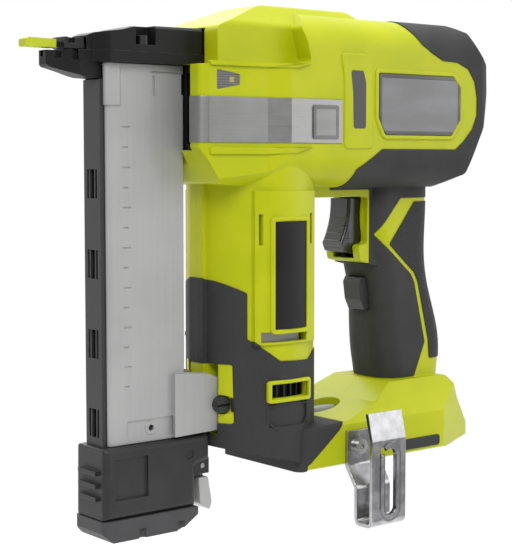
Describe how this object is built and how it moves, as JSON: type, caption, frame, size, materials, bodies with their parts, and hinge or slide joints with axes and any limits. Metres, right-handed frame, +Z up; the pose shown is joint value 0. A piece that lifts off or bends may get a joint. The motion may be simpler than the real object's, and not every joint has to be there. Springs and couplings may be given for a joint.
{
  "type": "cordless brad nailer",
  "caption": "Cordless brad nailer without battery: moulded casing, sliding magazine, contact trip, trigger, mode lever, belt hook and inner drive.",
  "frame": {"origin": "centre of the front face of the no-mar pad on the nose", "axes": "+X to the rear of the tool, -Y the tool's left side, +Z up from the battery foot to the head"},
  "size_m": [0.3005, 0.0947, 0.279],
  "materials": {
    "lime_shell": "satin",
    "overmould": "matte",
    "badge_plate": "satin",
    "dark_trim": "gloss",
    "lens": "clear",
    "steel_band": "brushed",
    "lime_rubber": "matte",
    "dark_steel": "black oxide",
    "spring_steel": "bright",
    "black_coated": "satin black",
    "silver_paint": "satin silver",
    "black_plastic": "satin",
    "black_rubber": "matte",
    "grey_plastic": "satin",
    "chrome_steel": "polished",
    "brass_contacts": "bright",
    "board": "satin",
    "motor_steel": "satin",
    "gear_alloy": "as cast"
  },
  "bodies": {
    "body": {"left_housing": "lime_shell", "right_housing": "lime_shell", "left_grip_overmould": "overmould", "right_grip_overmould": "overmould", "left_barrel_bumper": "overmould", "right_barrel_bumper": "overmould", "left_band_tag": "badge_plate", "right_band_tag": "badge_plate", "left_badge": "badge_plate", "right_badge": "badge_plate", "left_accent": "dark_trim", "right_accent": "dark_trim", "left_name_plate": "dark_trim", "right_name_plate": "dark_trim", "left_led_lens": "lens", "right_led_lens": "lens", "palm_pad": "overmould", "cylinder_band": "steel_band", "trip_spring": "spring_steel", "nose_cover": "black_coated", "nose_plate": "black_coated", "nose_screws": "dark_steel", "nose_frame": "black_coated", "magazine_shell": "silver_paint", "lug_screw": "dark_steel", "trigger_pin": "spring_steel", "trigger_switch": "black_plastic", "belt_hook": "chrome_steel", "hook_screw": "spring_steel", "foot_pads": "black_rubber", "battery_socket": "black_plastic", "battery_terminals": "brass_contacts", "control_board": "board", "motor_can": "motor_steel", "gearbox": "gear_alloy", "shaft_bearings": "spring_steel", "drive_cylinder": "gear_alloy", "cylinder_front_cap": "gear_alloy", "cylinder_rear_cap": "gear_alloy", "stop_bumper": "black_rubber"},
    "contact_trip": {"contact_trip": "dark_steel", "no_mar_pad": "lime_rubber"},
    "magazine_slide": {"magazine_rail": "black_coated", "magazine_handle": "black_plastic", "handle_screws": "dark_steel", "magazine_base": "black_rubber", "latch_pin": "spring_steel"},
    "latch": {"magazine_latch": "grey_plastic"},
    "pusher": {"pusher": "dark_steel"},
    "trigger": {"trigger": "black_plastic"},
    "power_button": {"power_button": "black_plastic"},
    "mode_lever": {"mode_lever": "grey_plastic"},
    "driver": {"driver_piston": "dark_steel", "piston_seal": "black_rubber"},
    "motor": {"motor_rotor": "spring_steel"},
    "lifter": {"lifter_wheel": "dark_steel"}
  },
  "joints": [
    {"name": "contact_trip", "type": "slide", "parent": "body", "child": "contact_trip", "axis": [1, 0, 0], "range_m": [0, 0.008], "stiffness_N_per_m": 400, "springref_m": -0.02, "deforming": ["trip_spring"]},
    {"name": "magazine_slide", "type": "slide", "parent": "body", "child": "magazine_slide", "axis": [0, 0, -1], "range_m": [0, 0.15]},
    {"name": "latch", "type": "hinge", "parent": "magazine_slide", "child": "latch", "pos_m": [0.0976, 0, -0.2155], "axis": [0, 1, 0], "range_deg": [0, 5], "stiffness_Nm_per_rad": 1, "springref_deg": -11.46},
    {"name": "pusher", "type": "slide", "parent": "magazine_slide", "child": "pusher", "axis": [0, 0, -1], "range_m": [0, 0.13], "stiffness_N_per_m": 20, "springref_m": -0.2},
    {"name": "trigger", "type": "hinge", "parent": "body", "child": "trigger", "pos_m": [0.219, 0, -0.0815], "axis": [0, -1, 0], "range_deg": [0, 10], "stiffness_Nm_per_rad": 0.5, "springref_deg": -17.19},
    {"name": "power_button", "type": "slide", "parent": "body", "child": "power_button", "axis": [1, 0, 0], "range_m": [0, 0.002], "stiffness_N_per_m": 500, "springref_m": -0.004},
    {"name": "mode_lever", "type": "hinge", "parent": "body", "child": "mode_lever", "pos_m": [0.191, 0, -0.197], "axis": [0, 0, 1], "range_deg": [-25, 25]},
    {"name": "driver", "type": "slide", "parent": "body", "child": "driver", "axis": [1, 0, 0], "range_m": [0, 0.075], "stiffness_N_per_m": 150, "springref_m": -0.1},
    {"name": "motor", "type": "hinge", "parent": "body", "child": "motor", "pos_m": [0.139, 0, -0.12], "axis": [0, 0, 1], "continuous": true},
    {"name": "lifter", "type": "hinge", "parent": "body", "child": "lifter", "pos_m": [0.139, 0, -0.0205], "axis": [0, 1, 0], "continuous": true}
  ],
  "couplings": [
    {"joint": "lifter", "follows": "motor", "ratio": 0.5}
  ]
}
